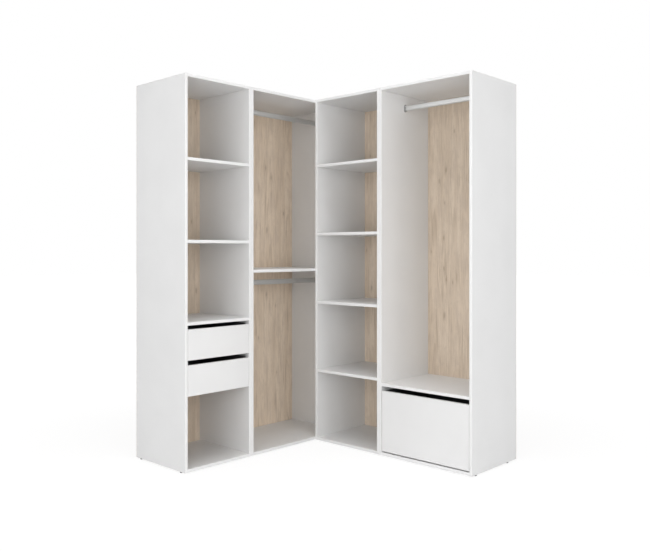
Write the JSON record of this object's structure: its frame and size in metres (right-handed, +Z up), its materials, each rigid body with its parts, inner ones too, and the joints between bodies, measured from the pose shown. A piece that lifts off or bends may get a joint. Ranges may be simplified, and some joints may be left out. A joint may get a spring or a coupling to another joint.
{
  "type": "corner wardrobe",
  "caption": "L-shaped corner wardrobe of open white carcasses with wood backs, shelves, hanging rails and drawers on roller runners.",
  "frame": {"origin": "on the floor, under the centre of the bounding box", "axes": "+Z up; the left run faces +X and the right run faces -Y, so the inner corner opens towards +X and -Y"},
  "size_m": [1.5392, 1.3986, 2.046],
  "materials": {
    "white_board": "satin white melamine on chipboard",
    "wood_back": "matt light oak decor on thin fibreboard",
    "rail_steel": "satin plated tube",
    "socket_plastic": "moulded grey plastic",
    "runner_steel": "pale epoxy coat",
    "drawer_board": "dark grey foil on board"
  },
  "bodies": {
    "carcasses": {"tower_left_side": "white_board", "tower_right_side": "white_board", "tower_top": "white_board", "tower_base": "white_board", "tower_back": "wood_back", "tower_shelf_1": "white_board", "tower_shelf_2": "white_board", "tower_shelf_3": "white_board", "corner_left_side": "white_board", "corner_right_side": "white_board", "corner_top": "white_board", "corner_base": "white_board", "corner_back": "wood_back", "corner_shelf": "white_board", "column_left_side": "white_board", "column_right_side": "white_board", "column_top": "white_board", "column_base": "white_board", "column_back": "wood_back", "column_shelf_1": "white_board", "column_shelf_2": "white_board", "column_shelf_3": "white_board", "column_shelf_4": "white_board", "hanging_left_side": "white_board", "hanging_right_side": "white_board", "hanging_top": "white_board", "hanging_base": "white_board", "hanging_back": "wood_back", "hanging_shelf": "white_board", "corner_upper_rail": "rail_steel", "corner_upper_socket_left": "socket_plastic", "corner_upper_socket_right": "socket_plastic", "corner_lower_rail": "rail_steel", "corner_lower_socket_left": "socket_plastic", "corner_lower_socket_right": "socket_plastic", "hanging_rail": "rail_steel", "hanging_socket_left": "socket_plastic", "hanging_socket_right": "socket_plastic", "upper_drawer_channel_left": "runner_steel", "upper_drawer_channel_right": "runner_steel", "lower_drawer_channel_left": "runner_steel", "lower_drawer_channel_right": "runner_steel", "deep_drawer_channel_left": "runner_steel", "deep_drawer_channel_right": "runner_steel"},
    "upper_drawer": {"upper_drawer_front": "white_board", "upper_drawer_box": "drawer_board", "upper_drawer_floor": "drawer_board", "upper_drawer_slider_left": "runner_steel", "upper_drawer_slider_right": "runner_steel"},
    "lower_drawer": {"lower_drawer_front": "white_board", "lower_drawer_box": "drawer_board", "lower_drawer_floor": "drawer_board", "lower_drawer_slider_left": "runner_steel", "lower_drawer_slider_right": "runner_steel"},
    "deep_drawer": {"deep_drawer_front": "white_board", "deep_drawer_box": "drawer_board", "deep_drawer_floor": "drawer_board", "deep_drawer_slider_left": "runner_steel", "deep_drawer_slider_right": "runner_steel"}
  },
  "joints": [
    {"name": "upper_drawer_slide", "type": "slide", "parent": "carcasses", "child": "upper_drawer", "axis": [1, 0, 0], "range_m": [0, 0.3]},
    {"name": "lower_drawer_slide", "type": "slide", "parent": "carcasses", "child": "lower_drawer", "axis": [1, 0, 0], "range_m": [0, 0.3]},
    {"name": "deep_drawer_slide", "type": "slide", "parent": "carcasses", "child": "deep_drawer", "axis": [0, -1, 0], "range_m": [0, 0.3]}
  ]
}
